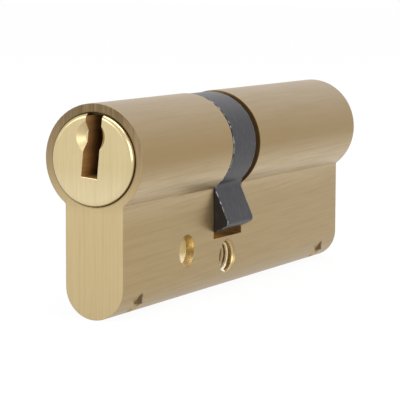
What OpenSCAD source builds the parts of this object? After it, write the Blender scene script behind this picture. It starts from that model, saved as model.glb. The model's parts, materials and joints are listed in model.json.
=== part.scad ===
// Euro profile double cylinder: a key plug at each end and a cam between them.
// The origin is the centre of the fixing screw's hole, on the mid-plane of the web.
// The cylinder lies along Y with its front key face towards -Y. Sizes are in millimetres.

/* [Body] */
// Length from the fixing hole to the front key face
front_l = 35; // [32:0.5:70]
// Length from the fixing hole to the back key face
back_l = 45; // [32:0.5:70]
// Diameter of the barrel
barrel_d = 17; // [16.6:0.1:18]
// Width of the flat web below the barrel
web_w = 10; // [9.6:0.1:11]
// Height of the profile, from the rounded underside to the top of the barrel
body_h = 33; // [32.5:0.1:34]
// Radius of the fillet where the web meets the barrel
neck_r = 0.5; // [0.1:0.1:1]
// Length of the slot that the cam turns in
cam_slot_l = 10.2; // [9.8:0.1:11]
// Height of the slot's floor above the underside
cam_slot_floor = 9.2; // [8.8:0.1:9.2]

/* [Fixing hole] */
// Height of the fixing hole's centre above the underside
screw_up = 5.7; // [5.2:0.1:5.8]
// Outer diameter of the fixing hole's thread
screw_d = 5; // [4:0.1:5]
// Width of the bright countersink around each mouth of the fixing hole
screw_sink = 0.5; // [0.2:0.05:0.8]

/* [Side hole] */
// Diameter of the blind hole beside the cam
side_hole_d = 5.2; // [3:0.1:5.4]
// Depth of its straight wall
side_hole_depth = 1.6; // [0.8:0.1:1.7]
// Distance from the fixing hole towards the front
side_hole_y = 14.4; // [10:0.1:22]
// Height of its centre above the underside
side_hole_up = 8.45; // [6:0.05:10]
// Point angle of the drill that made it
drill_point = 118; // [100:1:135]

/* [Plugs] */
// Diameter of the plug's barrel
plug_d = 13; // [12.4:0.1:13.2]
// Diameter of the plug's collar at the key face
collar_d = 14.2; // [13.8:0.1:14.6]
// Length of the collar inside the body
collar_l = 2.5; // [2:0.1:2.7]
// How far the plug's face stands out of the body
plug_proud = 0.8; // [0.7:0.1:1.5]
// Radius of the collar's polished edge
plug_edge_r = 0.7; // [0.2:0.05:0.7]
// Radial gap between the plug and its bore
plug_clear = 0.04; // [0.02:0.01:0.08]
// Radial gap between the collar and its seat
collar_clear = 0.1; // [0.05:0.01:0.2]

/* [Keyway] */
// Width of the key slot
keyway_w = 2.8; // [2.6:0.1:3]
// Depth of the slot's floor below the plug's axis
keyway_floor = 2.7; // [2.4:0.1:3]
// Lean of the slot, its open top towards +X on the front plug
keyway_lean = 5.5; // [0:0.5:7]
// Sideways offset of the slot at the height of the axis
keyway_shift = -0.15; // [-0.2:0.05:0]
// Radius of the round countersink at the slot's mouth
keyway_sink_r = 2.5; // [2:0.1:2.8]
// Height of that countersink's centre above the axis
keyway_sink_up = 3.5; // [2.5:0.1:3.8]

/* [Pins and springs] */
// Pin stacks in each half
pin_count = 6; // [4:1:6]
// Distance between neighbouring pins, where the half is long enough for it
pin_pitch = 3.9; // [3.6:0.05:3.9]
// Distance of the first pin behind the key face
pin_first = 4.5; // [4.4:0.05:4.8]
// Diameter of a pin at that distance
pin_d = 2.9; // [2.6:0.05:2.9]
// Gap between the innermost pin and the clutch when it is withdrawn
row_gap = 0.2; // [0.1:0.05:0.2]
// Radial gap between a pin and its chamber
pin_clear = 0.05; // [0.03:0.01:0.06]
// Gap between a pin and the shear line around the plug
shear_gap = 0.08; // [0.06:0.01:0.12]
// Length of the shortest key pin
key_pin_l = 4; // [3.8:0.1:4.2]
// Step in length from one key cut to the next
key_cut = 0.5; // [0.3:0.05:0.5]
// Length of a driver pin
driver_l = 5; // [4:0.1:6]
// Height of the top of the plug's chambers above the axis
chamber_top = 4.2; // [3.4:0.1:4.5]
// Diameter of the spring's wire
spring_wire_d = 0.4; // [0.3:0.05:0.45]
// Turns of a pin spring
spring_turns = 6.5; // [5:0.5:7]
// Radial gap around a spring in its chamber
spring_clear = 0.15; // [0.1:0.05:0.3]
// Length of the cap that closes a chamber
cap_l = 1.8; // [1.2:0.1:3]
// How deep a cap sits inside the chamber's mouth
cap_sink = 0.5; // [0.4:0.1:0.9]

/* [Hardened pins] */
// Diameter of the hardened pins in the body
guard_d = 2.6; // [1.6:0.1:2.6]
// Distance of the body's hardened pins from the key face
guard_inset = 6.1; // [5.9:0.1:6.4]
// Distance of the body's hardened pins from the mid-plane
guard_x = 3.5; // [3.3:0.05:3.5]
// Length of the body's hardened pins
guard_l = 9; // [5:0.5:11]
// Height of their lower ends above the underside
guard_up = 2.1; // [1.8:0.1:2.6]
// Diameter of the hardened pins in a plug
plug_guard_d = 1.5; // [1:0.1:1.5]
// Length of the hardened pins in a plug
plug_guard_l = 8.5; // [5:0.5:9]
// Distance of the plug's hardened pins from the axis
plug_guard_x = 3.5; // [3.4:0.05:3.8]
// Radial gap around a pressed pin or cap
press_gap = 0.02; // [0.01:0.005:0.02]

/* [Cam and clutch] */
// Length of the cam's lever along the cylinder
cam_l = 9.2; // [8.8:0.1:9.4]
// How far the cam's ring stays inside the barrel's outline
ring_inset = 0.15; // [0.1:0.05:0.6]
// How deep the wide lever is rooted in the narrower ring
lever_seat = 0.5; // [0.2:0.1:0.8]
// Gap between the lever's tip and the slot's floor as the lever sweeps past it
lever_gap = 0.3; // [0.2:0.05:2]
// Thickness of the lever
lever_t = 3.9; // [3:0.05:5]
// Lean of the lever from straight down, towards +X
lever_lean = 24; // [0:0.5:30]
// Radius of the lever's tip corners
lever_corner_r = 0.8; // [0.3:0.1:1.2]
// Radius of the fillets where the lever meets the ring
lever_root_r = 1.2; // [0.5:0.1:2]
// Distance from the cam's middle to each plug's inner end
plug_end_y = 2.8; // [2.6:0.05:3]
// Thickness of a retaining clip
clip_t = 0.5; // [0.4:0.05:0.6]
// Outer diameter of a retaining clip
clip_d = 14.3; // [14.2:0.05:14.3]
// Depth of the clip's groove in the plug
clip_groove = 0.7; // [0.5:0.05:0.8]
// Angle that the clip leaves open
clip_open = 60; // [40:5:90]
// Gap between neighbouring faces that slide past each other
side_gap = 0.1; // [0.05:0.01:0.12]
// Depth that a clutch reaches into the cam when it is engaged
clutch_grip = 1.5; // [1:0.1:1.6]
// Length of a clutch
clutch_l = 5; // [4:0.1:5]
// Height of a clutch's top above the axis
clutch_top = 4.6; // [3.5:0.1:4.8]
// Travel of a clutch from engaged to withdrawn
clutch_travel = 2.5; // [2.2:0.1:2.6]
// Outer diameter of the spring between the clutches
clutch_spring_d = 2.2; // [1.8:0.1:2.2]
// Turns of the spring between the clutches
clutch_spring_turns = 5; // [4:0.5:6]

/* [Hidden] */
$fn = 96;

brass = [0.70, 0.61, 0.46];
bright_brass = [0.86, 0.78, 0.55];
pin_brass = [0.80, 0.68, 0.40];
black_steel = [0.26, 0.26, 0.28];
steel = [0.62, 0.63, 0.65];
hard_steel = [0.42, 0.43, 0.45];

// Heights and radii that follow from the sizes above. Heights named _z are above the axis.
axis_up = body_h - barrel_d / 2;
axis_z = axis_up - screw_up;
under_z = -axis_up;
web_r = web_w / 2;
plug_r = plug_d / 2;
bore_r = plug_r + plug_clear;
collar_r = collar_d / 2;
slot_floor_z = under_z + cam_slot_floor;
over = 1;
// How far a fillet's hollow reaches into the walls beside it
fillet_bite = 0.003;

// Pin stacks
key_pin_z = -(plug_r - shear_gap);
driver_z = -(bore_r + shear_gap);
pin_edge = 0.35;
key_tip_r = 0.5;
key_code = [6, 3, 5, 2, 4, 1];
cap_z = under_z + cap_sink;
spring_seat_gap = 0.05;

// Cam, clips and clutches. The cam lies against the front end of its slot, and its ring is
// narrower than its lever by a clip at each side. Distances named _y are from the cam's middle.
slot_y = cam_slot_l / 2;
cam_y = cam_l / 2;
cam_fwd = slot_y - side_gap - cam_y;
ring_y = cam_y - clip_t - side_gap;
ring_r = barrel_d / 2 - ring_inset;
clip_y = slot_y - side_gap;
clip_r = clip_d / 2;
groove_r = plug_r - clip_groove;
groove_gap = 0.05;
cam_web_y = plug_end_y - side_gap;
clutch_in_y = cam_web_y - clutch_grip;
clutch_gap = 0.05;
clutch_reach = cam_fwd + clutch_in_y + side_gap + clutch_travel + clutch_l;
lever_h = lever_t / 2;
// The lever is full width from its seat in the ring, or from the clips' edge if that is further out
lever_seat_r = max(ring_r - lever_seat, clip_r + side_gap);
lever_r = axis_up - cam_slot_floor - lever_gap;
sweep_sides = 5;
sweep_steps = 10;

// A flat outline, drawn as seen from the front with the axis at its origin, run from y0 to y1
module along_y(y0, y1) {
    translate([0, y1, axis_z]) rotate([90, 0, 0]) linear_extrude(y1 - y0) children();
}

// A profile of radius and distance from y0, turned around the cylinder's axis
module turned(y0) {
    translate([0, y0, axis_z]) rotate([-90, 0, 0]) rotate_extrude() children();
}

// The back half is the front half turned about the fixing hole's vertical line
module back_half() {
    rotate([0, 0, 180]) children();
}

// A half of length l that is too short for the full row has its pins closer and thinner
function row_room(l) = l - pin_first - clutch_reach - row_gap;
function row_share(l) = min(1, row_room(l) / (pin_d / 2 + (pin_count - 1) * pin_pitch));
function pin_r(l) = row_share(l) * pin_d / 2;
function chamber_r(l) = pin_r(l) + pin_clear;

// Place of pin i in a half of length l
function pin_y(l, i) = -l + pin_first + i * row_share(l) * pin_pitch;

// Fillets of radius r on both sides where a bar of half width half_w leaves a round of radius big_r
module root_fillets(big_r, half_w, r) {
    root_x = half_w + r;
    root_y = sqrt(pow(big_r + r, 2) - root_x * root_x);
    touch = big_r / (big_r + r);
    difference() {
        translate([-root_x, -root_y]) square([2 * root_x, root_y * (1 - touch)]);
        for (side = [-1, 1])
            translate([side * root_x, -root_y]) circle(r = r + fillet_bite);
    }
}

// Outline of the euro profile
module profile() {
    circle(r = barrel_d / 2);
    root_fillets(barrel_d / 2, web_r, neck_r);
    translate([-web_r, under_z + web_r]) square([web_w, axis_up - web_r]);
    translate([0, under_z + web_r]) circle(r = web_r);
}

// Key slot from its floor to the given height, made narrower by gap on each side
module slot_outline(top, gap) {
    translate([keyway_shift, 0]) rotate([0, 0, -keyway_lean])
        translate([-keyway_w / 2 + gap, -keyway_floor + gap])
            square([keyway_w - 2 * gap, keyway_floor + top - 2 * gap]);
}

// Bore, collar seat, pin chambers and guard pin holes of a half of length l
module half_cuts(l) {
    along_y(-l - over, 0) circle(r = bore_r);
    along_y(-l - over, -l + collar_l + side_gap) circle(r = collar_r + collar_clear);
    for (i = [0:pin_count - 1])
        translate([0, pin_y(l, i), -screw_up - over])
            cylinder(r = chamber_r(l), h = axis_up + over);
    for (side = [-1, 1])
        translate([side * guard_x, -l + guard_inset, -screw_up - over])
            cylinder(d = guard_d, h = guard_up + guard_l + over);
}

// Threaded hole right through the web, countersunk at both mouths
module fixing_hole() {
    rotate([0, 90, 0]) cylinder(d = screw_d, h = web_w + 2 * over, center = true);
    for (side = [-1, 1])
        rotate([0, side * 90, 0]) translate([0, 0, web_r - screw_sink])
            cylinder(r1 = screw_d / 2, r2 = screw_d / 2 + screw_sink + over, h = screw_sink + over);
}

// Blind hole with the cone that the drill leaves
module side_hole() {
    cone_l = side_hole_d / 2 / tan(drill_point / 2);
    translate([web_r, -side_hole_y, side_hole_up - screw_up]) rotate([0, -90, 0]) {
        translate([0, 0, -over]) cylinder(d = side_hole_d, h = side_hole_depth + over);
        translate([0, 0, side_hole_depth]) cylinder(d1 = side_hole_d, d2 = 0, h = cone_l);
    }
}

// One piece of brass, its two halves joined only by the bridge around the fixing hole
module body() {
    color(brass) difference() {
        along_y(-front_l, back_l) profile();
        along_y(-slot_y, slot_y)
            translate([-barrel_d, slot_floor_z]) square([2 * barrel_d, body_h]);
        half_cuts(front_l);
        back_half() half_cuts(back_l);
        fixing_hole();
        side_hole();
    }
}

// Turned outline of the plug in a half of length l, from its face inwards to the distance end_y
module plug_outline(l, end_y) {
    collar_end = plug_proud + collar_l;
    plug_end = l + plug_proud - end_y;
    difference() {
        union() {
            square([collar_r - plug_edge_r, collar_end]);
            translate([0, plug_edge_r]) square([collar_r, collar_end - plug_edge_r]);
            intersection() {
                translate([collar_r - plug_edge_r, plug_edge_r]) circle(r = plug_edge_r);
                square([collar_r, collar_end]);
            }
            square([plug_r, plug_end]);
        }
        translate([groove_r, l + plug_proud - clip_y - groove_gap])
            square([plug_r, clip_t + 2 * groove_gap]);
    }
}

// Key plug of a half of length l, slotted from end to end
module plug(l, end_y) {
    difference() {
        turned(-l - plug_proud) plug_outline(l, end_y);
        along_y(-l - plug_proud - over, 0) slot_outline(barrel_d, 0);
        translate([keyway_shift, -l - plug_proud, axis_z + keyway_sink_up]) rotate([-90, 0, 0])
            cylinder(r1 = keyway_sink_r, r2 = keyway_w / 2, h = keyway_sink_r - keyway_w / 2);
        for (i = [0:pin_count - 1])
            translate([0, pin_y(l, i), axis_z - plug_d])
                cylinder(r = chamber_r(l), h = plug_d + chamber_top);
        for (side = [-1, 1])
            translate([side * plug_guard_x, plug_guard_y(l), axis_z + plug_guard_z - plug_guard_l])
                cylinder(d = plug_guard_d, h = plug_guard_l + plug_d);
    }
}

module front_plug() {
    color(bright_brass) plug(front_l, plug_end_y + cam_fwd);
}

module back_plug() {
    color(bright_brass) back_half() plug(back_l, plug_end_y - cam_fwd);
}

// The plug's guard pins stand in its collar, under the collar seat's wall
function plug_guard_y(l) = -l + collar_l - plug_guard_d / 2 - side_gap;
plug_guard_out = plug_guard_x + plug_guard_d / 2;
plug_guard_z = sqrt(collar_r * collar_r - plug_guard_out * plug_guard_out) - side_gap;

module plug_guards(l) {
    for (side = [-1, 1])
        translate([side * plug_guard_x, plug_guard_y(l), axis_z + plug_guard_z - plug_guard_l])
            cylinder(r = plug_guard_d / 2 - press_gap, h = plug_guard_l);
}

module front_plug_guards() {
    color(hard_steel) plug_guards(front_l);
}

module back_plug_guards() {
    color(hard_steel) back_half() plug_guards(back_l);
}

// Hardened pins that stand beside the pin chambers, let in from below
module guard_pins(l) {
    for (side = [-1, 1])
        translate([side * guard_x, -l + guard_inset, guard_up - screw_up])
            cylinder(r = guard_d / 2 - press_gap, h = guard_l);
}

module front_guard_pins() {
    color(hard_steel) guard_pins(front_l);
}

module back_guard_pins() {
    color(hard_steel) back_half() guard_pins(back_l);
}

// Caps pressed into the lower ends of the pin chambers
module caps(l) {
    for (i = [0:pin_count - 1])
        translate([0, pin_y(l, i), axis_z + cap_z])
            cylinder(r = chamber_r(l) - press_gap, h = cap_l);
}

module front_caps() {
    color(pin_brass) caps(front_l);
}

module back_caps() {
    color(pin_brass) back_half() caps(back_l);
}

// Key pin i of a half, its lower end at the shear line and its tip towards the key
module key_pin(l, i) {
    length = key_pin_l + key_cut * key_code[i];
    r = pin_r(l);
    tip_h = r - key_tip_r;
    translate([0, pin_y(l, i), axis_z + key_pin_z]) rotate_extrude()
        polygon([[0, 0], [r - pin_edge, 0], [r, pin_edge], [r, length - tip_h],
                 [key_tip_r, length], [0, length]]);
}

// Driver pin i of a half, its upper end at the shear line
module driver_pin(l, i) {
    r = pin_r(l);
    translate([0, pin_y(l, i), axis_z + driver_z - driver_l]) rotate_extrude()
        polygon([[0, 0], [r - pin_edge, 0], [r, pin_edge], [r, driver_l - pin_edge],
                 [r - pin_edge, driver_l], [0, driver_l]]);
}

// Round wire wound into a coil that stands on z = 0
module coil(length, outer_r, turns) {
    wire_r = spring_wire_d / 2;
    mean_r = outer_r - wire_r;
    steps = turns * sweep_steps;
    rise = length - spring_wire_d;
    points = [for (k = [0:steps]) for (s = [0:sweep_sides - 1])
        let (turn = 360 * k / sweep_steps, side = 360 * s / sweep_sides,
             r = mean_r + wire_r * cos(side))
        [r * cos(turn), r * sin(turn), wire_r + rise * k / steps + wire_r * sin(side)]];
    walls = [for (k = [0:steps - 1]) for (s = [0:sweep_sides - 1])
        let (a = k * sweep_sides, b = a + sweep_sides, t = (s + 1) % sweep_sides)
        [a + s, b + s, b + t, a + t]];
    first = [for (s = [0:sweep_sides - 1]) s];
    last = [for (s = [0:sweep_sides - 1]) steps * sweep_sides + sweep_sides - 1 - s];
    polyhedron(points, concat(walls, [first, last]));
}

// Spring i of a half, between its driver pin and its cap
module pin_spring(l, i) {
    low = cap_z + cap_l + spring_seat_gap;
    high = driver_z - driver_l - spring_seat_gap;
    translate([0, pin_y(l, i), axis_z + low])
        coil(high - low, chamber_r(l) - spring_clear, spring_turns);
}

// Open ring in the plug's groove that keeps the plug from being pulled out
module clip() {
    open_x = barrel_d * tan(clip_open / 2);
    along_y(-clip_y, -clip_y + clip_t) difference() {
        circle(r = clip_r);
        circle(r = groove_r + groove_gap);
        polygon([[0, 0], [open_x, barrel_d], [-open_x, barrel_d]]);
    }
}

module front_clip() {
    color(steel) clip();
}

module back_clip() {
    color(steel) back_half() clip();
}

// Lever of the cam pointing straight down, with round tip corners and filleted roots
module lever_outline() {
    corner_x = lever_h - lever_corner_r;
    corner_y = sqrt(pow(lever_r - lever_corner_r, 2) - corner_x * corner_x);
    translate([-lever_h, -corner_y]) square([lever_t, corner_y]);
    intersection() {
        circle(r = lever_r);
        polygon([[0, 0], [-2 * corner_x, -2 * corner_y], [2 * corner_x, -2 * corner_y]]);
    }
    for (side = [-1, 1])
        translate([side * corner_x, -corner_y]) circle(r = lever_corner_r);
    root_fillets(ring_r, lever_h, lever_root_r);
}

// Seat of a plug's end and of a clutch in one side of the cam
module cam_side() {
    along_y(-cam_y - over, -cam_web_y) circle(r = bore_r);
    along_y(-cam_y, -clutch_in_y) slot_outline(clutch_top + clutch_gap, 0);
}

// The cam, its clutches and their spring sit forward of the fixing hole's plane
module forward() {
    translate([0, -cam_fwd, 0]) children();
}

// Black sintered cam, carried on the inner ends of both plugs
module cam() {
    color(black_steel) forward() difference() {
        union() {
            along_y(-ring_y, ring_y) {
                circle(r = ring_r);
                rotate([0, 0, lever_lean]) lever_outline();
            }
            along_y(-cam_y, cam_y) difference() {
                rotate([0, 0, lever_lean]) lever_outline();
                circle(r = lever_seat_r);
            }
        }
        cam_side();
        back_half() cam_side();
        along_y(-cam_y, cam_y) circle(r = clutch_spring_d / 2 + spring_clear);
    }
}

// Flat tongue that slides in a plug's key slot, its inner end at the distance y
module clutch(y) {
    along_y(-y - clutch_l, -y) slot_outline(clutch_top, clutch_gap);
}

module front_clutch() {
    color(steel) forward() clutch(clutch_in_y + side_gap);
}

module back_clutch() {
    color(steel) forward() back_half() clutch(clutch_in_y + side_gap + clutch_travel);
}

// Spring that holds the two clutches apart
module clutch_spring() {
    front_end = -clutch_in_y - side_gap + spring_seat_gap;
    back_end = clutch_in_y + side_gap + clutch_travel - spring_seat_gap;
    color(steel) forward() translate([0, front_end, axis_z]) rotate([-90, 0, 0])
        coil(back_end - front_end, clutch_spring_d / 2, clutch_spring_turns);
}

body();
front_plug();
back_plug();
cam();
front_clutch();
back_clutch();
clutch_spring();
front_clip();
back_clip();
front_caps();
back_caps();
front_guard_pins();
back_guard_pins();
front_plug_guards();
back_plug_guards();
for (i = [0:pin_count - 1]) {
    color(pin_brass) key_pin(front_l, i);
    color(steel) driver_pin(front_l, i);
    color(steel) pin_spring(front_l, i);
    color(pin_brass) back_half() key_pin(back_l, i);
    color(steel) back_half() driver_pin(back_l, i);
    color(steel) back_half() pin_spring(back_l, i);
}
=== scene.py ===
"""Dresses the euro profile double cylinder: brass, black steel and a white photographic stage.

Sizes of new pieces are in metres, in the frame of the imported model. The fixing hole's centre is
the origin, the cylinder lies along Y with its front key face towards -Y, and Z is up.
"""
import json
import math

import bpy
from bpy.props import FloatProperty, FloatVectorProperty, IntProperty, PointerProperty
from mathutils import Matrix, Vector

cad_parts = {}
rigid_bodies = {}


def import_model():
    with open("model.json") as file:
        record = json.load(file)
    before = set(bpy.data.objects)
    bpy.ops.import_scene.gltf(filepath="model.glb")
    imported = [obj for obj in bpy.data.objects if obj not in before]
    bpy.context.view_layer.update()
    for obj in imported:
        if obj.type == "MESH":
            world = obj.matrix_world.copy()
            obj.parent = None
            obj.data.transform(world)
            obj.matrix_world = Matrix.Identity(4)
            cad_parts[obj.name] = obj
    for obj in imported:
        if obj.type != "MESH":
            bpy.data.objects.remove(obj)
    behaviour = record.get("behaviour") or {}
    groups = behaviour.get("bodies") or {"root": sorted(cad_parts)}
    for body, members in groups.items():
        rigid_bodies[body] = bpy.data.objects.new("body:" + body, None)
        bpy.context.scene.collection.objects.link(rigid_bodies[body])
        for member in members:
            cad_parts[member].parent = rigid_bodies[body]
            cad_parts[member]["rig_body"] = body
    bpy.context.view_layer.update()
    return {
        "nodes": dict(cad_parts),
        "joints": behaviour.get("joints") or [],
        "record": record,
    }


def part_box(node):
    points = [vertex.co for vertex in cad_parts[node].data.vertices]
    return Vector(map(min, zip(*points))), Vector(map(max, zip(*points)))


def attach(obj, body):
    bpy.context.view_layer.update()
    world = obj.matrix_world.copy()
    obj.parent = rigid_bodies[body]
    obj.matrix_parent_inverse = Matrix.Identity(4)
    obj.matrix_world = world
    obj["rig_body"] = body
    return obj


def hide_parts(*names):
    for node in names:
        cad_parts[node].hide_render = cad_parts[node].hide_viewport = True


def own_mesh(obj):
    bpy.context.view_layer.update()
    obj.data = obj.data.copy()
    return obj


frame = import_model()

bl_info = {
    "name": "Euro Double Cylinder",
    "version": (1, 0, 0),
    "blender": (4, 5, 0),
    "location": "3D View > Sidebar > Cylinder",
    "description": "Finishes and stage of a euro profile double cylinder",
    "category": "Object",
}

MM = 0.001
BODY_LOW, BODY_HIGH = (Vector(corner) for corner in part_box("body"))
PLUG_LOW, PLUG_HIGH = (Vector(corner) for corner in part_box("front_plug"))
BARREL_R = (BODY_HIGH.x - BODY_LOW.x) / 2
COLLAR_R = (PLUG_HIGH.x - PLUG_LOW.x) / 2
AXIS_Z = BODY_HIGH.z - BARREL_R
FIXING_HOLE = next(m for m in frame["record"]["mounts"] if m["name"] == "fixing_hole")
HOLE_R = FIXING_HOLE["dims"]["r_mm"] * MM
HOLE_L = FIXING_HOLE["dims"]["length_mm"] * MM

# Places where the brass changes, in millimetres, and where its painted light and shade change; a pair
# is where a change starts and ends
PLUG_MIDDLE = (PLUG_LOW.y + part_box("back_plug")[1].y) / 2 / MM
PLUG_HALF = PLUG_MIDDLE - PLUG_LOW.y / MM
NECK = 12.0
# Heights up the end faces where the turned ring's painted shade deepens
RING_MIDDLE = 18.0
RING_TOP = 26.0
# Heights where painted light makes a plug's face paler downwards
PLUG_LIT_LOW = (18.0, 13.5)
# Depths where painted shade starts and deepens in the key slot
KEY_SLOT_SHADE = (2.2, 4.0)
WEB_HALF = 5.0
SLOT_HALF = 5.1
SLOT_FLOOR = 3.5
# Heights where the slot's painted shade turns into painted light low down
SLOT_LOW_LIGHT = (9.0, 5.5)
# Where the painted shadow of the lever falls along the slot's floor
LEVER_SHADOW = (-2.0, 2.0)
SIDE_HOLE = (-14.4, 2.75)
SIDE_HOLE_R = 2.6
# Heights where painted light starts on the side hole's lower wall
SIDE_HOLE_LIT = (0.6, 1.6)
LEAD_IN = (0.95, 0.75)
# Heights of the painted highlight at the bottom of the thread
THREAD_HIGHLIGHT = (-1.2, -1.7)


class BrassSettings(bpy.types.PropertyGroup):
    """Colours and finish of the brass pieces"""

    body_color: FloatVectorProperty(
        name="Web", description="Satin brass of the web's flat sides", subtype="COLOR",
        default=(0.372, 0.268, 0.127), min=0, max=1)
    # The barrel's brass, with a deeper painted shade at middle height
    barrel_middle_shade: FloatVectorProperty(
        name="Barrel", description="Deeper satin brass around the barrel's middle height",
        subtype="COLOR", default=(0.308, 0.208, 0.082), min=0, max=1)
    # Painted sheen on top of the barrel
    barrel_top_sheen: FloatVectorProperty(
        name="Barrel, top", description="Paler brass on top of the barrel",
        subtype="COLOR", default=(0.345, 0.257, 0.150), min=0, max=1)
    # Painted light where the barrel turns into the web, and on the web below the neck
    neck_painted_light: FloatVectorProperty(
        name="Barrel, underside", description="Paler brass where the barrel turns into the web",
        subtype="COLOR", default=(0.500, 0.388, 0.230), min=0, max=1)
    body_dark: FloatVectorProperty(
        name="Body streaks", description="Darker drawn streaks in the body's brass",
        subtype="COLOR", default=(0.295, 0.205, 0.09), min=0, max=1)
    body_rough: FloatProperty(
        name="Body roughness", description="Roughness of the satin sides",
        default=0.36, min=0, max=1, subtype="FACTOR")
    face_color: FloatVectorProperty(
        name="End faces", description="Milled brass below the two plugs", subtype="COLOR",
        default=(0.478, 0.375, 0.202), min=0, max=1)
    # The turned ring's duller tone, partly its turned finish and partly painted shade
    ring_tone_and_shade: FloatVectorProperty(
        name="Turned ring", description="Dull turned brass around the plugs", subtype="COLOR",
        default=(0.27, 0.195, 0.105), min=0, max=1)
    # Painted shade on the top of the turned ring and round the plugs' collars
    ring_painted_shade: FloatVectorProperty(
        name="Turned ring, top", description="Darkest part of the turned ring", subtype="COLOR",
        default=(0.125, 0.085, 0.042), min=0, max=1)
    plug_color: FloatVectorProperty(
        name="Plug", description="Polished brass of the plugs", subtype="COLOR",
        default=(0.64, 0.52, 0.290), min=0, max=1)
    # Painted light on the lower part of a plug's face
    plug_low_light: FloatVectorProperty(
        name="Plug, low", description="Lower part of a plug's face", subtype="COLOR",
        default=(0.72, 0.605, 0.365), min=0, max=1)
    key_slot_color: FloatVectorProperty(
        name="Key slot", description="Broached brown brass inside the key slot",
        subtype="COLOR", default=(0.50, 0.27, 0.09), min=0, max=1)
    # Painted shade deep in the key slot
    key_slot_shade: FloatVectorProperty(
        name="Key slot, deep", description="Oiled brown brass deep in the key slot",
        subtype="COLOR", default=(0.085, 0.045, 0.02), min=0, max=1)
    pin_color: FloatVectorProperty(
        name="Pins", description="Turned brass of the key pins and chamber caps",
        subtype="COLOR", default=(0.55, 0.34, 0.14), min=0, max=1)
    bore_color: FloatVectorProperty(
        name="Cut bores", description="Deeper brass in the side hole and at the fixing hole's mouths",
        subtype="COLOR", default=(0.50, 0.38, 0.18), min=0, max=1)
    # Painted shade down in the thread's grooves and on the fixing hole's wall inside its mouths
    groove_shade: FloatVectorProperty(
        name="Thread grooves", description="Brown brass down in the thread's grooves",
        subtype="COLOR", default=(0.30, 0.19, 0.08), min=0, max=1)
    # Bright cut brass, painted paler as light: the thread's crests and the side hole's lower wall
    lit_cut_brass: FloatVectorProperty(
        name="Thread", description="Bright tapped brass", subtype="COLOR",
        default=(0.90, 0.76, 0.50), min=0, max=1)
    # Painted highlight where the thread faces up at the hole's bottom
    thread_bottom_highlight: FloatVectorProperty(
        name="Thread, bottom", description="Bright brass where the thread faces up",
        subtype="COLOR", default=(1.0, 0.90, 0.70), min=0, max=1)
    # Painted shade on the walls of the cam's slot and under the lever
    slot_shade_color: FloatVectorProperty(
        name="Cam slot walls", description="Brown brass on the walls of the cam's slot",
        subtype="COLOR", default=(0.22, 0.13, 0.05), min=0, max=1)
    # Painted light, golden, low down in the cam's slot and on its floor
    slot_floor_light: FloatVectorProperty(
        name="Cam slot floor", description="Golden brass low down in the cam's slot",
        subtype="COLOR", default=(0.74, 0.45, 0.12), min=0, max=1)


class SteelSettings(bpy.types.PropertyGroup):
    """Colours and finish of the steel pieces"""

    cam_color: FloatVectorProperty(
        name="Cam", description="Black oxidised sintered steel", subtype="COLOR",
        default=(0.046, 0.045, 0.050), min=0, max=1)
    # Painted sheen where the cam's ring turns up or down
    cam_painted_sheen: FloatVectorProperty(
        name="Cam, curves", description="Greyer steel where the ring turns up or down",
        subtype="COLOR", default=(0.058, 0.058, 0.063), min=0, max=1)
    # Wear on the cam, and a painted highlight along its edges
    cam_wear_and_glint: FloatVectorProperty(
        name="Worn cam", description="Rubbed marks and edges on the cam", subtype="COLOR",
        default=(0.42, 0.42, 0.43), min=0, max=1)
    steel_color: FloatVectorProperty(
        name="Steel", description="Driver pins, clips, clutches and springs", subtype="COLOR",
        default=(0.55, 0.55, 0.56), min=0, max=1)
    # A plain dark brown for the hardened pins
    hard_color: FloatVectorProperty(
        name="Hardened steel", description="Hardened pins, browned by heat and oil",
        subtype="COLOR", default=(0.14, 0.085, 0.036), min=0, max=1)


class ThreadSettings(bpy.types.PropertyGroup):
    """The thread in the fixing hole"""

    pitch: FloatProperty(
        name="Pitch", description="Distance between neighbouring turns",
        default=0.8 * MM, unit="LENGTH", precision=5)
    depth: FloatProperty(
        name="Depth", description="Height of a thread ridge above the hole's wall",
        default=0.30 * MM, unit="LENGTH", precision=5)
    crest: FloatProperty(
        name="Crest", description="Width of the flat on a thread's ridge",
        default=0.32 * MM, unit="LENGTH", precision=5)
    root: FloatProperty(
        name="Root", description="Width of the groove's flat between two ridges",
        default=0.12 * MM, unit="LENGTH", precision=5)
    sink: FloatProperty(
        name="Sink", description="How far a ridge's foot reaches into the wall",
        default=0.03 * MM, unit="LENGTH", precision=5)
    steps: IntProperty(
        name="Steps", description="Faces in one turn of the thread", default=44, min=16, max=48)


class SpringSettings(bpy.types.PropertyGroup):
    """The coiled springs under the pins and between the clutches"""

    wire: FloatProperty(
        name="Wire", description="Diameter of the springs' wire",
        default=0.4 * MM, unit="LENGTH", precision=5)
    pin_turns: FloatProperty(
        name="Pin spring turns", description="Turns of a pin's spring", default=6.5, min=2)
    clutch_turns: FloatProperty(
        name="Clutch spring turns", description="Turns of the spring between the clutches",
        default=5.0, min=2)
    sides: IntProperty(
        name="Sides", description="Faces around the wire", default=10, min=6, max=24)
    steps: IntProperty(
        name="Steps", description="Faces along one turn of a spring", default=32, min=12, max=48)


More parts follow.
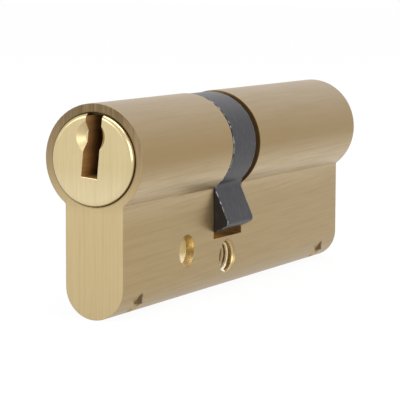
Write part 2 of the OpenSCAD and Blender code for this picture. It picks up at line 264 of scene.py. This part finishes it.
class StageSettings(bpy.types.PropertyGroup):
    """Camera, floor and lamps"""

    camera_place: FloatVectorProperty(
        name="Camera", description="Place of the camera", subtype="TRANSLATION",
        default=(0.14686, -0.28368, 0.04600), precision=5)
    camera_yaw: FloatProperty(
        name="Yaw", description="Turn of the view from straight along the cylinder",
        default=math.radians(27.397), subtype="ANGLE")
    camera_pitch: FloatProperty(
        name="Pitch", description="Downward tilt of the view",
        default=math.radians(6.572), subtype="ANGLE")
    camera_roll: FloatProperty(
        name="Roll", description="Roll of the view", default=math.radians(0.208), subtype="ANGLE")
    lens: FloatProperty(
        name="Lens", description="Focal length on a 36 mm sensor, in millimetres",
        default=173.35, min=1)
    floor_color: FloatVectorProperty(
        name="Floor", description="Pale floor", subtype="COLOR",
        default=(0.93, 0.93, 0.93), min=0, max=1)
    shadow: FloatProperty(
        name="Shadow", description="Share of the floor's look that takes shadow",
        default=0.05, min=0, max=1, subtype="FACTOR")
    floor_size: FloatProperty(
        name="Floor size", description="Width of the floor", default=6.0, unit="LENGTH")
    room_light: FloatProperty(
        name="Room light", description="Strength of the even light from all round",
        default=0.85, min=0)


SETTINGS = {
    "cylinder_brass": BrassSettings,
    "cylinder_steel": SteelSettings,
    "cylinder_thread": ThreadSettings,
    "cylinder_springs": SpringSettings,
    "cylinder_stage": StageSettings,
}


class Nodes:
    """A material's node tree, with short calls to add and join nodes"""

    def __init__(self, name):
        self.material = bpy.data.materials.new(name)
        self.material.use_nodes = True
        self.tree = self.material.node_tree
        self.shader = self.tree.nodes["Principled BSDF"]
        self.output = self.tree.nodes["Material Output"]
        self.coords = self.tree.nodes.new("ShaderNodeTexCoord")

    def add(self, kind, **values):
        node = self.tree.nodes.new(kind)
        for key, value in values.items():
            setattr(node, key, value)
        return node

    def join(self, source, target):
        self.tree.links.new(source, target)

    def feed(self, socket, value):
        if isinstance(value, bpy.types.NodeSocket):
            self.join(value, socket)
        else:
            socket.default_value = value

    def math(self, operation, first, second=0.0, clamp=False):
        node = self.add("ShaderNodeMath", operation=operation, use_clamp=clamp)
        self.feed(node.inputs[0], first)
        self.feed(node.inputs[1], second)
        return node.outputs[0]

    def place(self):
        """The object's own X, Y and Z, in millimetres"""
        scaled = self.add("ShaderNodeVectorMath", operation="SCALE")
        scaled.inputs["Scale"].default_value = 1 / MM
        self.join(self.coords.outputs["Object"], scaled.inputs[0])
        split = self.add("ShaderNodeSeparateXYZ")
        self.join(scaled.outputs["Vector"], split.inputs[0])
        return tuple(split.outputs)

    def reach(self, first, second, middle=(0.0, 0.0)):
        """Distance from a line, given the two places across it"""
        first = self.math("SUBTRACT", first, middle[0])
        second = self.math("SUBTRACT", second, middle[1])
        squares = self.math(
            "ADD", self.math("MULTIPLY", first, first), self.math("MULTIPLY", second, second))
        return self.math("SQRT", squares)

    def noise(self, scale, detail=3.0, roughness=0.5, turn=(0, 0, 0)):
        """Noise on Object coordinates, with its own scale along each axis, per millimetre"""
        mapping = self.add("ShaderNodeMapping", vector_type="TEXTURE")
        mapping.inputs["Rotation"].default_value = turn
        mapping.inputs["Scale"].default_value = [MM / s for s in scale]
        self.join(self.coords.outputs["Object"], mapping.inputs["Vector"])
        texture = self.add("ShaderNodeTexNoise")
        texture.inputs["Scale"].default_value = 1.0
        texture.inputs["Detail"].default_value = detail
        texture.inputs["Roughness"].default_value = roughness
        self.join(mapping.outputs["Vector"], texture.inputs["Vector"])
        return texture.outputs["Fac"]

    def ramp(self, value, low, high, to_low=0.0, to_high=1.0):
        node = self.add("ShaderNodeMapRange", clamp=True)
        self.feed(node.inputs["Value"], value)
        node.inputs["From Min"].default_value = low
        node.inputs["From Max"].default_value = high
        node.inputs["To Min"].default_value = to_low
        node.inputs["To Max"].default_value = to_high
        return node.outputs["Result"]

    def mix(self, factor, first, second):
        node = self.add("ShaderNodeMix", data_type="RGBA")
        self.feed(node.inputs["Factor"], factor)
        for socket, value in ((node.inputs[6], first), (node.inputs[7], second)):
            if not isinstance(value, bpy.types.NodeSocket):
                value = (*value, 1.0)
            self.feed(socket, value)
        return node.outputs[2]

    def axis(self, name):
        """One part of the object's own normal"""
        split = self.add("ShaderNodeSeparateXYZ")
        self.join(self.coords.outputs["Normal"], split.inputs[0])
        return split.outputs[name]

    def rounded(self, radius):
        """The surface's direction with its sharp edges rounded off"""
        edge = self.add("ShaderNodeBevel", samples=8)
        edge.inputs["Radius"].default_value = radius
        return edge.outputs["Normal"]

    def near_edge(self, rounded, start=0.98, end=0.85):
        """1 at sharp edges, falling to 0 on the faces beside them"""
        geometry = self.add("ShaderNodeNewGeometry")
        dot = self.add("ShaderNodeVectorMath", operation="DOT_PRODUCT")
        self.join(rounded, dot.inputs[0])
        self.join(geometry.outputs["Normal"], dot.inputs[1])
        return self.ramp(dot.outputs["Value"], start, end)

    def bump(self, height, distance, strength, rounded=None):
        node = self.add("ShaderNodeBump")
        if rounded:
            self.join(rounded, node.inputs["Normal"])
        node.inputs["Distance"].default_value = distance
        node.inputs["Strength"].default_value = strength
        self.join(height, node.inputs["Height"])
        self.join(node.outputs["Normal"], self.shader.inputs["Normal"])

    def set(self, **values):
        for key, value in values.items():
            self.feed(self.shader.inputs[key.replace("_", " ")], value)


def satin_brass(name, brass):
    """The body's brass: drawn along its sides, milled down its faces, turned around the plugs, with
    painted light and shade on the barrel, the ring, the cam's slot and the holes
    """
    n = Nodes(name)
    x, y, z = n.place()
    from_axis = n.reach(x, z, (0.0, AXIS_Z / MM))
    facing_end = n.ramp(n.math("ABSOLUTE", n.axis("Y")), 0.7, 0.9)
    tilt = n.axis("Z")

    drawn = n.noise((2.2, 0.05, 2.2), detail=5.0, roughness=0.65, turn=(math.radians(2), 0, 0))
    smear = n.noise((0.3, 0.10, 0.6), detail=3.0, turn=(math.radians(-9), 0, 0))
    # Painted light and shade on the barrel by the tilt of its surface: a deeper middle, a paler top
    # and a paler underside
    barrel = n.mix(n.ramp(tilt, 0.12, 0.72), brass.barrel_middle_shade, brass.barrel_top_sheen)
    barrel = n.mix(n.ramp(tilt, -0.05, -0.55), barrel, brass.neck_painted_light)
    # Painted light on the web just below the neck, against the shade under the barrel
    web = n.mix(n.ramp(z, NECK - 3.5, NECK, 0.0, 0.6), brass.body_color, brass.neck_painted_light)
    side = n.mix(n.ramp(z, NECK, NECK + 0.5), web, barrel)
    side = n.mix(n.ramp(drawn, 0.45, 0.72, 0.0, 0.6), side, brass.body_dark)
    side = n.mix(n.ramp(smear, 0.5, 0.75, 0.0, 0.18), side, brass.body_dark)

    milled = n.noise((4.5, 0.5, 0.06), detail=4.0, roughness=0.8)
    # The milled face turns into the turned ring, with painted shade that deepens up the ring to its
    # top
    end = n.mix(n.ramp(z, NECK - 1.5, RING_MIDDLE), brass.face_color, brass.ring_tone_and_shade)
    end = n.mix(n.ramp(z, RING_MIDDLE, RING_TOP), end, brass.ring_painted_shade)
    end = n.mix(n.ramp(milled, 0.45, 0.75, 0.0, 0.6), end, brass.body_color)
    # Painted shade in the gap round the plug's collar
    seat_gap_shade = n.ramp(from_axis, COLLAR_R / MM + 0.12, COLLAR_R / MM + 0.35, 0.75, 0.0)
    end = n.mix(seat_gap_shade, end, brass.ring_painted_shade)
    color = n.mix(facing_end, side, end)

    in_slot = n.math(
        "MULTIPLY", n.ramp(n.math("ABSOLUTE", y), SLOT_HALF + 0.06, SLOT_HALF + 0.03),
        n.ramp(z, SLOT_FLOOR - 0.1, SLOT_FLOOR - 0.05))
    # Painted shade on the slot's walls, turning into painted light low down and on its floor
    slot_light_and_shade = n.mix(n.ramp(z, *SLOT_LOW_LIGHT), brass.slot_shade_color, brass.slot_floor_light)
    # Painted shadow of the lever: the slot darkens towards its back
    slot_light_and_shade = n.mix(n.ramp(y, *LEVER_SHADOW, 0.0, 0.95), slot_light_and_shade, brass.slot_shade_color)
    color = n.mix(in_slot, color, slot_light_and_shade)
    below_skin = n.ramp(n.math("ABSOLUTE", x), WEB_HALF - 0.04, WEB_HALF - 0.1)
    in_fixing = n.ramp(n.reach(y, z), HOLE_R / MM + 0.2, HOLE_R / MM + 0.1)
    in_drilled = n.ramp(n.reach(y, z, SIDE_HOLE), SIDE_HOLE_R + 0.2, SIDE_HOLE_R + 0.1)
    in_hole = n.math("MULTIPLY", below_skin, n.math("MAXIMUM", in_fixing, in_drilled))
    # Painted shade on the fixing hole's wall inside its mouths, paler at the mouths
    lead_in = n.ramp(n.math("ABSOLUTE", x), WEB_HALF - LEAD_IN[0], WEB_HALF - LEAD_IN[1])
    tapped = n.mix(lead_in, brass.groove_shade, brass.bore_color)
    # Painted light on the lower wall of the side hole
    drilled_wall_lit = n.mix(
        n.ramp(z, SIDE_HOLE[1] - SIDE_HOLE_LIT[0], SIDE_HOLE[1] - SIDE_HOLE_LIT[1]),
        brass.bore_color, brass.lit_cut_brass)
    bore = n.mix(in_fixing, drilled_wall_lit, tapped)
    n.join(n.mix(in_hole, color, bore), n.shader.inputs["Base Color"])

    fine = n.noise((6.0, 0.10, 6.0), detail=3.0)
    fine_end = n.noise((6.0, 1.0, 0.10), detail=3.0)
    streaks = n.add("ShaderNodeMix", data_type="FLOAT")
    n.join(facing_end, streaks.inputs["Factor"])
    n.join(fine, streaks.inputs[2])
    n.join(fine_end, streaks.inputs[3])
    rough = n.ramp(streaks.outputs[0], 0.2, 0.8, brass.body_rough - 0.05, brass.body_rough + 0.07)
    n.join(n.math("SUBTRACT", rough, n.math("MULTIPLY", in_hole, 0.10)),
           n.shader.inputs["Roughness"])
    n.set(Metallic=0.8)
    n.bump(streaks.outputs[0], 0.004 * MM, 0.6, n.rounded(0.15 * MM))
    return n.material


def plug_brass(name, brass):
    """The plugs' polished brass: faint belt lines on the face, painted light low on the face, brown
    and dull in the key slot with painted shade deep inside
    """
    n = Nodes(name)
    x, y, z = n.place()
    from_axis = n.reach(x, z, (0.0, AXIS_Z / MM))
    lines = n.noise((3.5, 1.0, 0.10), detail=4.0, roughness=0.6)
    cloud = n.noise((0.25, 0.25, 0.25), detail=2.0)
    # Painted light: the plug's face gets paler towards its bottom
    face = n.mix(n.ramp(z, *PLUG_LIT_LOW), brass.plug_color, brass.plug_low_light)
    face = n.mix(n.ramp(lines, 0.4, 0.75, 0.0, 0.4), face, [c * 0.82 for c in brass.plug_color])
    across = n.ramp(n.math("ABSOLUTE", n.axis("Y")), 0.55, 0.35)
    within = n.ramp(from_axis, COLLAR_R / MM - 0.3, COLLAR_R / MM - 0.5)
    in_key_slot = n.math("MULTIPLY", across, within)
    broached = n.noise((2.5, 0.08, 2.5), detail=3.0)
    slot_wall = n.mix(n.ramp(broached, 0.35, 0.7, 0.0, 0.6), brass.key_slot_color,
                      [c * 0.5 for c in brass.key_slot_color])
    # Painted shade: the key slot darkens with depth behind the plug's face
    from_middle = n.math("ABSOLUTE", n.math("SUBTRACT", y, PLUG_MIDDLE))
    depth = n.ramp(
        from_middle, PLUG_HALF - KEY_SLOT_SHADE[0], PLUG_HALF - KEY_SLOT_SHADE[1], 0.0, 0.75)
    slot_wall = n.mix(depth, slot_wall, brass.key_slot_shade)
    n.join(n.mix(in_key_slot, face, slot_wall), n.shader.inputs["Base Color"])
    polish = n.ramp(cloud, 0.3, 0.7, 0.14, 0.20)
    dull = n.math("MULTIPLY", n.ramp(n.math("ABSOLUTE", n.axis("Y")), 0.95, 0.85), within)
    n.join(n.math("ADD", polish, n.math("MULTIPLY", dull, 0.28)), n.shader.inputs["Roughness"])
    n.join(n.math("SUBTRACT", 1.0, n.math("MULTIPLY", in_key_slot, 0.6)),
           n.shader.inputs["Metallic"])
    n.bump(lines, 0.003 * MM, 0.5, n.rounded(0.15 * MM))
    return n.material


def thread_brass(name, brass):
    """The thread's brass: pale crests with painted light, brown grooves with painted shade and a
    painted highlight on the crests at the bottom
    """
    n = Nodes(name)
    x, y, z = n.place()
    crest = n.ramp(n.reach(y, z), HOLE_R / MM - 0.08, HOLE_R / MM - 0.22)
    speckle = n.noise((1.5, 1.5, 1.5), detail=3.0)
    # Painted shade in the thread's grooves, painted light on its crests
    color = n.mix(crest, brass.groove_shade, brass.lit_cut_brass)
    color = n.mix(n.ramp(speckle, 0.45, 0.8, 0.0, 0.2), color, brass.bore_color)
    # Painted highlight on the thread at the hole's bottom
    color = n.mix(n.ramp(z, *THREAD_HIGHLIGHT), color, brass.thread_bottom_highlight)
    n.join(color, n.shader.inputs["Base Color"])
    n.join(n.ramp(speckle, 0.3, 0.7, 0.24, 0.34), n.shader.inputs["Roughness"])
    n.set(Metallic=0.6)
    return n.material


def polished_brass(name, color, rough, streak):
    """Bright turned brass with faint tool lines"""
    n = Nodes(name)
    lines = n.noise(streak, detail=4.0, roughness=0.6)
    cloud = n.noise((0.25, 0.25, 0.25), detail=2.0)
    shade = n.mix(n.ramp(lines, 0.3, 0.75, 0.0, 0.35), color, [c * 0.8 for c in color])
    n.join(shade, n.shader.inputs["Base Color"])
    n.join(n.ramp(cloud, 0.3, 0.7, rough, rough + 0.06), n.shader.inputs["Roughness"])
    n.set(Metallic=1.0)
    n.bump(lines, 0.003 * MM, 0.5)
    return n.material


def black_steel(name, steel):
    """Oxidised sintered steel: fine grain, rubbed streaks around the ring, pale worn edges with a
    painted edge highlight, and a painted sheen where the ring turns up or down
    """
    n = Nodes(name)
    grain = n.noise((6.0, 6.0, 6.0), detail=4.0, roughness=0.7)
    rubbed = n.noise((0.5, 3.5, 0.5), detail=4.0, roughness=0.6)
    edge = n.rounded(0.35 * MM)
    patches = n.noise((1.3, 1.3, 1.3), detail=2.0)
    # Worn edges with a painted highlight along them
    worn_edge_and_glint = n.math("MULTIPLY", n.near_edge(edge, 0.97, 0.8), n.ramp(patches, 0.42, 0.62))
    worn_side = n.ramp(rubbed, 0.5, 0.85, 0.0, 0.14)
    # Wear and the painted edge highlight together
    worn = n.math("MAXIMUM", worn_edge_and_glint, worn_side, clamp=True)
    # Painted sheen on the cam's faces that turn up or down
    tilt = n.math("ABSOLUTE", n.axis("Z"))
    steel_and_sheen = n.mix(n.ramp(tilt, 0.5, 0.8), steel.cam_color, steel.cam_painted_sheen)
    n.join(n.mix(worn, steel_and_sheen, steel.cam_wear_and_glint), n.shader.inputs["Base Color"])
    n.join(n.ramp(grain, 0.2, 0.8, 0.30, 0.48), n.shader.inputs["Roughness"])
    n.set(Metallic=0.9)
    n.bump(grain, 0.006 * MM, 0.5, edge)
    return n.material


def turned_steel(name, color, rough, lines=(1.0, 1.0, 9.0)):
    """Steel with fine turned lines"""
    n = Nodes(name)
    turned = n.noise(lines, detail=3.0)
    dull = n.noise((0.6, 0.6, 0.6), detail=2.0)
    shade = n.mix(n.ramp(turned, 0.3, 0.7, 0.0, 0.4), color, [c * 0.7 for c in color])
    n.join(shade, n.shader.inputs["Base Color"])
    n.join(n.ramp(dull, 0.3, 0.7, rough, rough + 0.1), n.shader.inputs["Roughness"])
    n.set(Metallic=1.0)
    n.bump(turned, 0.003 * MM, 0.4)
    return n.material


def dress(node, material):
    """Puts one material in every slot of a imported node"""
    obj = frame["nodes"][node]
    if not obj.material_slots:
        obj.data.materials.append(material)
    for slot in obj.material_slots:
        slot.material = material


def deselect():
    """Nothing is selected, and no object is in edit mode"""
    if bpy.context.object and bpy.context.object.mode != "OBJECT":
        bpy.ops.object.mode_set(mode="OBJECT")
    bpy.ops.object.select_all(action="DESELECT")


def wind(name, axis, section, turns, pitch, steps):
    """Winds a closed section of (along, out) places round one axis of the frame"""
    deselect()
    bpy.ops.mesh.primitive_circle_add(vertices=len(section), radius=pitch, location=(0, 0, 0))
    wound = bpy.context.object
    wound.name = name
    for vertex, (along, out) in zip(wound.data.vertices, section):
        place = [0.0, 0.0, 0.0]
        place[axis] = along
        place[(axis + 2) % 3] = out
        vertex.co = place
    screw = wound.modifiers.new("wind", "SCREW")
    screw.axis = "XYZ"[axis]
    screw.angle = 2 * math.pi * turns
    screw.screw_offset = pitch * turns
    screw.iterations = 1
    screw.steps = round(steps * turns)
    screw.render_steps = screw.steps
    screw.use_merge_vertices = False
    bpy.ops.object.modifier_apply(modifier=screw.name)
    bpy.ops.object.mode_set(mode="EDIT")
    bpy.ops.mesh.select_all(action="SELECT")
    bpy.ops.mesh.remove_doubles(threshold=0.0001 * MM)
    bpy.ops.mesh.fill_holes(sides=0)
    bpy.ops.mesh.select_all(action="SELECT")
    bpy.ops.mesh.normals_make_consistent(inside=False)
    bpy.ops.object.mode_set(mode="OBJECT")
    return wound


class CYLINDER_OT_body(bpy.types.Operator):
    """Finish the brass body"""

    bl_idname = "cylinder.body"
    bl_label = "Body"

    def execute(self, context):
        brass = context.scene.cylinder_brass
        dress("body", satin_brass("satin_brass", brass))
        return {"FINISHED"}


class CYLINDER_OT_plugs(bpy.types.Operator):
    """Finish both key plugs"""

    bl_idname = "cylinder.plugs"
    bl_label = "Plugs"

    def execute(self, context):
        brass = context.scene.cylinder_brass
        finish = plug_brass("plug_brass", brass)
        for node in ("front_plug", "back_plug"):
            dress(node, finish)
        return {"FINISHED"}


class CYLINDER_OT_cam(bpy.types.Operator):
    """Finish the black cam"""

    bl_idname = "cylinder.cam"
    bl_label = "Cam"

    def execute(self, context):
        dress("cam", black_steel("black_steel", context.scene.cylinder_steel))
        return {"FINISHED"}


class CYLINDER_OT_inner(bpy.types.Operator):
    """Finish the pins, clips, clutches and hardened pins"""

    bl_idname = "cylinder.inner"
    bl_label = "Inner pieces"

    def execute(self, context):
        brass = context.scene.cylinder_brass
        steel = context.scene.cylinder_steel
        slots = {
            "pin_brass": polished_brass("pin_brass", brass.pin_color, 0.22, (1.0, 1.0, 8.0)),
            "steel": turned_steel("driver_steel", steel.steel_color, 0.25),
            "hard_steel": turned_steel("hard_steel", steel.hard_color, 0.3),
        }
        for entry in frame["record"]["subparts"]:
            if entry["material_slot"] in slots:
                dress(entry["node"], slots[entry["material_slot"]])
        return {"FINISHED"}


class CYLINDER_OT_springs(bpy.types.Operator):
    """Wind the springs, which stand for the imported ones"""

    bl_idname = "cylinder.springs"
    bl_label = "Springs"

    def execute(self, context):
        settings = context.scene.cylinder_springs
        steel_color = context.scene.cylinder_steel.steel_color
        finish = turned_steel("spring_steel", steel_color, 0.2, (3.0, 3.0, 3.0))
        wanted = set()
        wound = set()
        for joint in frame["joints"]:
            for spring in joint.get("deforming_nodes", ()):
                wanted.add(spring["node"])
                if self.coil(settings, joint, spring, finish):
                    wound.add(spring["node"])
        if wanted != wound:
            raise RuntimeError(f"nothing presses on these springs: {sorted(wanted - wound)}")
        return {"FINISHED"}

    def coil(self, settings, joint, spring, finish):
        """Winds one spring if this joint presses it together, or says that it doesn't"""
        node = spring["node"]
        letter = spring["mode"][-1]
        axis = "xyz".index(letter)
        fixed = spring["fixed_end_" + letter + "_m"]
        low, high = (Vector(corner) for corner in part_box(node))
        length = high[axis] - low[axis]
        ends = sorted((low[axis], high[axis]), key=lambda end: abs(end - fixed))
        held, free = ends
        travel = max((joint["axis"][axis] * end for end in joint["range_m"]), key=abs)
        if travel * (held - free) <= 0:
            return False
        wire_r = settings.wire / 2
        width = max(high[side] - low[side] for side in range(3) if side != axis)
        middle_r = width / 2 - wire_r
        turns = settings.clutch_turns if node == "clutch_spring" else settings.pin_turns
        around = [2 * math.pi * k / settings.sides for k in range(settings.sides)]
        section = [(wire_r + wire_r * math.sin(a), middle_r + wire_r * math.cos(a)) for a in around]
        coil = wind(node.replace("spring", "coil"), axis, section, turns,
                    (length - settings.wire) / turns, settings.steps)
        coil.location = (low + high) / 2
        coil.location[axis] = low[axis]
        bpy.ops.object.transform_apply(location=True, rotation=False, scale=False)
        bpy.ops.object.shade_smooth_by_angle(angle=math.radians(60))
        coil.data.materials.append(finish)
        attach(coil, frame["nodes"][node]["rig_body"])
        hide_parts(node)
        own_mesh(coil)
        return True


class CYLINDER_OT_thread(bpy.types.Operator):
    """Wind the fixing hole's thread: one ridge along the hole's wall"""

    bl_idname = "cylinder.thread"
    bl_label = "Fixing thread"

    def execute(self, context):
        thread = context.scene.cylinder_thread
        turns = math.floor(HOLE_L / thread.pitch) - 0.5
        foot = HOLE_R + thread.sink
        crest = HOLE_R - thread.depth
        half_foot = (thread.pitch - thread.root) / 2
        start = -turns * thread.pitch / 2
        outline = [(start - half_foot, foot), (start - thread.crest / 2, crest),
                   (start + thread.crest / 2, crest), (start + half_foot, foot)]
        ridge = wind("fixing_thread", 0, outline, turns, thread.pitch, thread.steps)
        bpy.ops.object.shade_smooth_by_angle(angle=math.radians(30))
        brass = context.scene.cylinder_brass
        ridge.data.materials.append(thread_brass("thread_brass", brass))
        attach(ridge, "body")
        return {"FINISHED"}


class CYLINDER_OT_stage(bpy.types.Operator):
    """Set up the camera, the pale floor, the white room and its lamps"""

    bl_idname = "cylinder.stage"
    bl_label = "Stage"

    def execute(self, context):
        stage = context.scene.cylinder_stage
        deselect()
        self.camera(context, stage)
        self.room(context, stage)
        self.floor(stage)
        self.lamps()
        context.scene.view_settings.view_transform = "Standard"
        return {"FINISHED"}

    def camera(self, context, stage):
        bpy.ops.object.camera_add(location=stage.camera_place)
        camera = context.object
        turn = (Matrix.Rotation(stage.camera_yaw, 4, "Z")
                @ Matrix.Rotation(math.pi / 2 - stage.camera_pitch, 4, "X")
                @ Matrix.Rotation(stage.camera_roll, 4, "Z"))
        camera.rotation_euler = turn.to_euler()
        camera.data.sensor_width = 36
        camera.data.lens = stage.lens
        camera.data.clip_start = 0.01
        camera.data.clip_end = 20
        context.scene.camera = camera

    def room(self, context, stage):
        world = bpy.data.worlds.new("white_room")
        world.use_nodes = True
        context.scene.world = world
        tree = world.node_tree
        light = tree.nodes.new("ShaderNodeLightPath")
        seen = tree.nodes.new("ShaderNodeMath")
        seen.operation = "MAXIMUM"
        tree.links.new(light.outputs["Is Camera Ray"], seen.inputs[0])
        tree.links.new(light.outputs["Is Glossy Ray"], seen.inputs[1])
        both = tree.nodes.new("ShaderNodeMath")
        both.operation = "MAXIMUM"
        tree.links.new(seen.outputs[0], both.inputs[0])
        tree.links.new(light.outputs["Is Transmission Ray"], both.inputs[1])
        strength = tree.nodes.new("ShaderNodeMapRange")
        tree.links.new(both.outputs[0], strength.inputs["Value"])
        strength.inputs["To Min"].default_value = stage.room_light
        strength.inputs["To Max"].default_value = 1.0
        background = tree.nodes["Background"]
        background.inputs["Color"].default_value = (1, 1, 1, 1)
        tree.links.new(strength.outputs["Result"], background.inputs["Strength"])

    def floor(self, stage):
        bpy.ops.mesh.primitive_plane_add(size=stage.floor_size, location=(0, 0, BODY_LOW.z))
        floor = bpy.context.object
        floor.name = "floor"
        n = Nodes("pale_floor")
        n.set(Base_Color=(*stage.floor_color, 1), Roughness=0.9, Specular_IOR_Level=0.0)
        glow = n.add("ShaderNodeEmission")
        glow.inputs["Color"].default_value = (1, 1, 1, 1)
        light = n.add("ShaderNodeLightPath")
        seen = n.math("MAXIMUM", light.outputs["Is Camera Ray"], light.outputs["Is Glossy Ray"])
        seen = n.math("MAXIMUM", seen, light.outputs["Is Transmission Ray"])
        blend = n.add("ShaderNodeMixShader")
        n.join(n.math("MULTIPLY", seen, 1 - stage.shadow), blend.inputs[0])
        n.join(n.shader.outputs[0], blend.inputs[1])
        n.join(glow.outputs[0], blend.inputs[2])
        n.join(blend.outputs[0], n.output.inputs["Surface"])
        floor.data.materials.append(n.material)

    def lamps(self):
        lamps = (
            ("front_box", (-0.45, -0.75, 0.30), (0.5, 0.5), 1.8),
            ("right_box", (0.70, -0.45, 0.18), (0.5, 0.6), 2.6),
            ("top_box", (0.15, 0.05, 0.8), (0.7, 0.7), 4.0),
        )
        for name, place, size, power in lamps:
            bpy.ops.object.light_add(type="AREA", location=place)
            lamp = bpy.context.object
            lamp.name = name
            lamp.data.shape = "RECTANGLE"
            lamp.data.size, lamp.data.size_y = size
            lamp.data.energy = power
            aim = Vector((0, 0, AXIS_Z)) - Vector(place)
            lamp.rotation_euler = aim.to_track_quat("-Z", "Y").to_euler()


class CYLINDER_PT_panel(bpy.types.Panel):
    """Steps and settings of the cylinder"""

    bl_label = "Euro Double Cylinder"
    bl_idname = "CYLINDER_PT_panel"
    bl_space_type = "VIEW_3D"
    bl_region_type = "UI"
    bl_category = "Cylinder"

    def draw(self, context):
        for step in STEPS:
            self.layout.operator(step.bl_idname)
        for name, group in SETTINGS.items():
            box = self.layout.box()
            for prop in group.__annotations__:
                box.prop(getattr(context.scene, name), prop)


STEPS = (
    CYLINDER_OT_body,
    CYLINDER_OT_plugs,
    CYLINDER_OT_cam,
    CYLINDER_OT_inner,
    CYLINDER_OT_springs,
    CYLINDER_OT_thread,
    CYLINDER_OT_stage,
)


def register():
    for group in SETTINGS.values():
        bpy.utils.register_class(group)
    for name, group in SETTINGS.items():
        setattr(bpy.types.Scene, name, PointerProperty(type=group))
    for step in STEPS:
        bpy.utils.register_class(step)
    bpy.utils.register_class(CYLINDER_PT_panel)


def unregister():
    bpy.utils.unregister_class(CYLINDER_PT_panel)
    for step in reversed(STEPS):
        bpy.utils.unregister_class(step)
    for name, group in reversed(SETTINGS.items()):
        delattr(bpy.types.Scene, name)
        bpy.utils.unregister_class(group)


def main():
    register()
    for step in STEPS:
        family, name = step.bl_idname.split(".")
        getattr(getattr(bpy.ops, family), name)()


if __name__ == "__main__":
    main()
